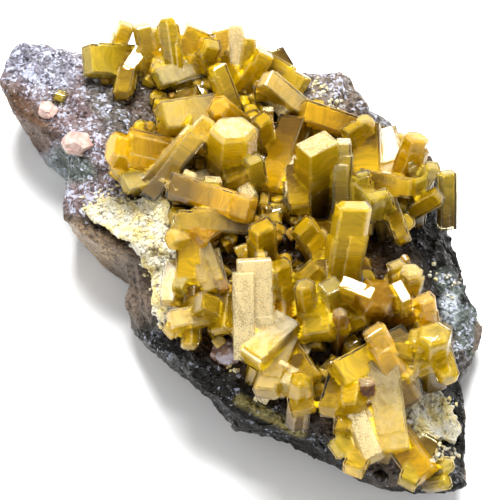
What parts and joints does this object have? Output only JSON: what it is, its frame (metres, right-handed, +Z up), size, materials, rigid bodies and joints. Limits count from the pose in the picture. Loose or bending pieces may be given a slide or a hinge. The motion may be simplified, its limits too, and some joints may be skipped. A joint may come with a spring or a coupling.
{
  "type": "raw citrine crystal specimen",
  "caption": "Raw citrine specimen: honey-yellow blocky crystals crowded over a slab of dark host rock with pale crusts, cut flat underneath to rest on a surface.",
  "frame": {"origin": "on the surface that the specimen rests on, under the middle of its bounding box", "axes": "+X along the slab's length, +Y across it away from the viewer's side, +Z up"},
  "size_m": [0.1325, 0.0728, 0.0423],
  "materials": {
    "rock": "rough dark ore rock with glinting grains",
    "citrine": "clear to milky honey-yellow crystal, frosted on some faces",
    "crust": "sugary pale crust",
    "spar": "pinkish cleaved spar",
    "smoky": "smoky glassy mineral"
  },
  "bodies": {
    "root": {"host_rock": "rock", "crystal_cluster": "citrine", "left_crust": "crust", "right_crust": "crust", "spar_grain": "spar", "spar_chip": "spar", "smoky_grain": "smoky", "smoky_eye": "smoky"}
  },
  "joints": []
}
